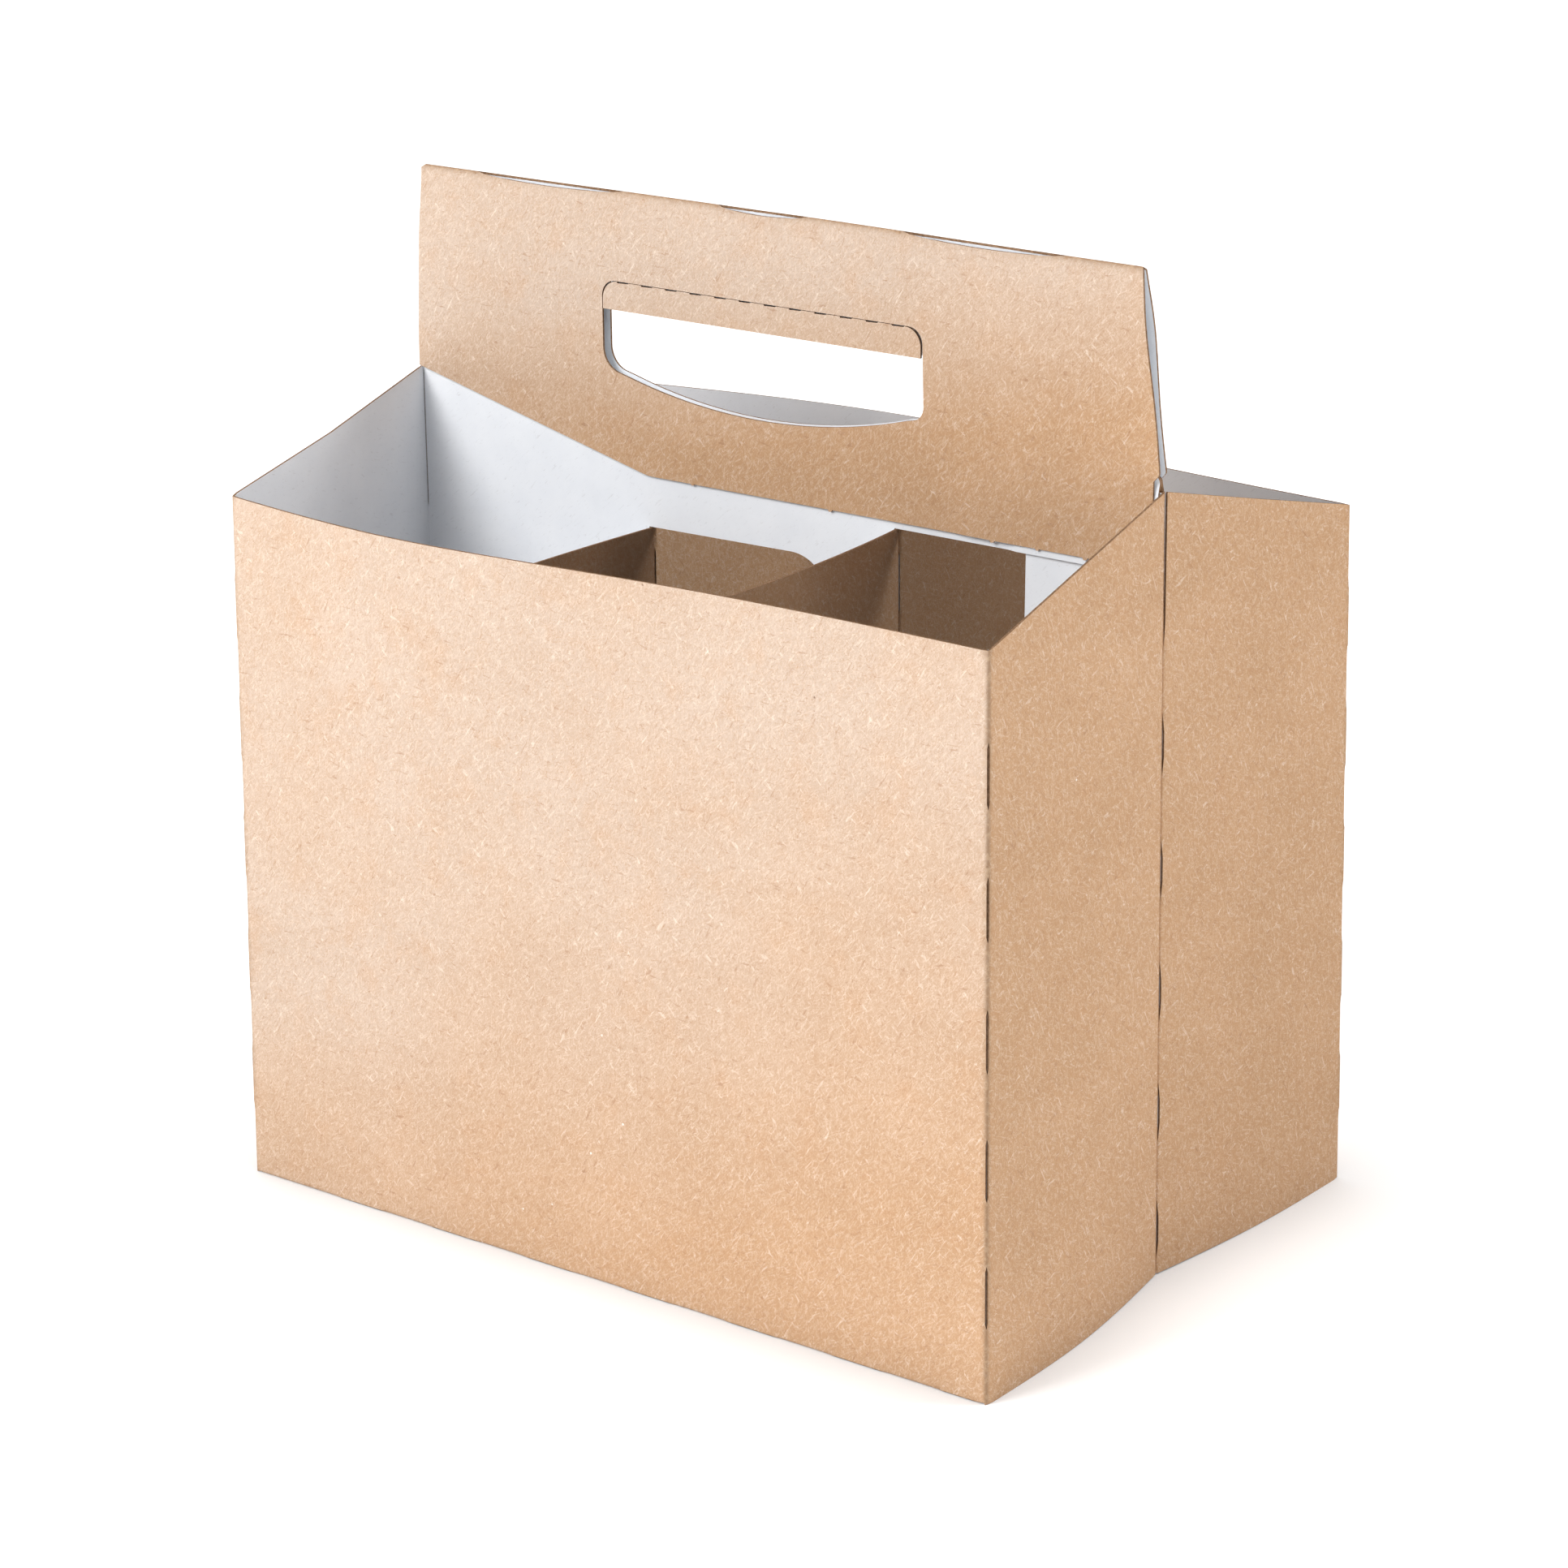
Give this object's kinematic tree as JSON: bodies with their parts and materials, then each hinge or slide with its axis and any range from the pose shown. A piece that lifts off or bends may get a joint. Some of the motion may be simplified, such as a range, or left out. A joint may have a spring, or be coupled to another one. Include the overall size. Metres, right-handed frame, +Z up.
{
  "type": "six-pack carrier",
  "caption": "Folded kraft board bottle carrier, brown outside and white inside, with divided cells on both sides of a raised handle with a hand hole and hinged grip flaps.",
  "frame": {"origin": "on the underside, midway along the centre partition", "axes": "+X along the front wall to the right, +Y from the front wall to the back wall, +Z up"},
  "size_m": [0.1968, 0.1437, 0.2076],
  "materials": {
    "kraft_board": "matte kraft outside, white inside, brown cut edges",
    "kraft_flap": "matte kraft outside, white inside"
  },
  "bodies": {
    "carrier": {"carrier": "kraft_board"},
    "front_flap": {"grip_flap_front": "kraft_flap"},
    "back_flap": {"grip_flap_back": "kraft_flap"}
  },
  "joints": [
    {"name": "front_flap_swing", "type": "hinge", "parent": "carrier", "child": "front_flap", "pos_m": [-0.0026, -0.00125, 0.1886], "axis": [1, 0, 0], "range_deg": [0, 70]},
    {"name": "back_flap_swing", "type": "hinge", "parent": "carrier", "child": "back_flap", "pos_m": [-0.0026, 0.00125, 0.1886], "axis": [1, 0, 0], "range_deg": [0, 70]}
  ],
  "couplings": [
    {"joint": "back_flap_swing", "follows": "front_flap_swing", "ratio": 1}
  ]
}
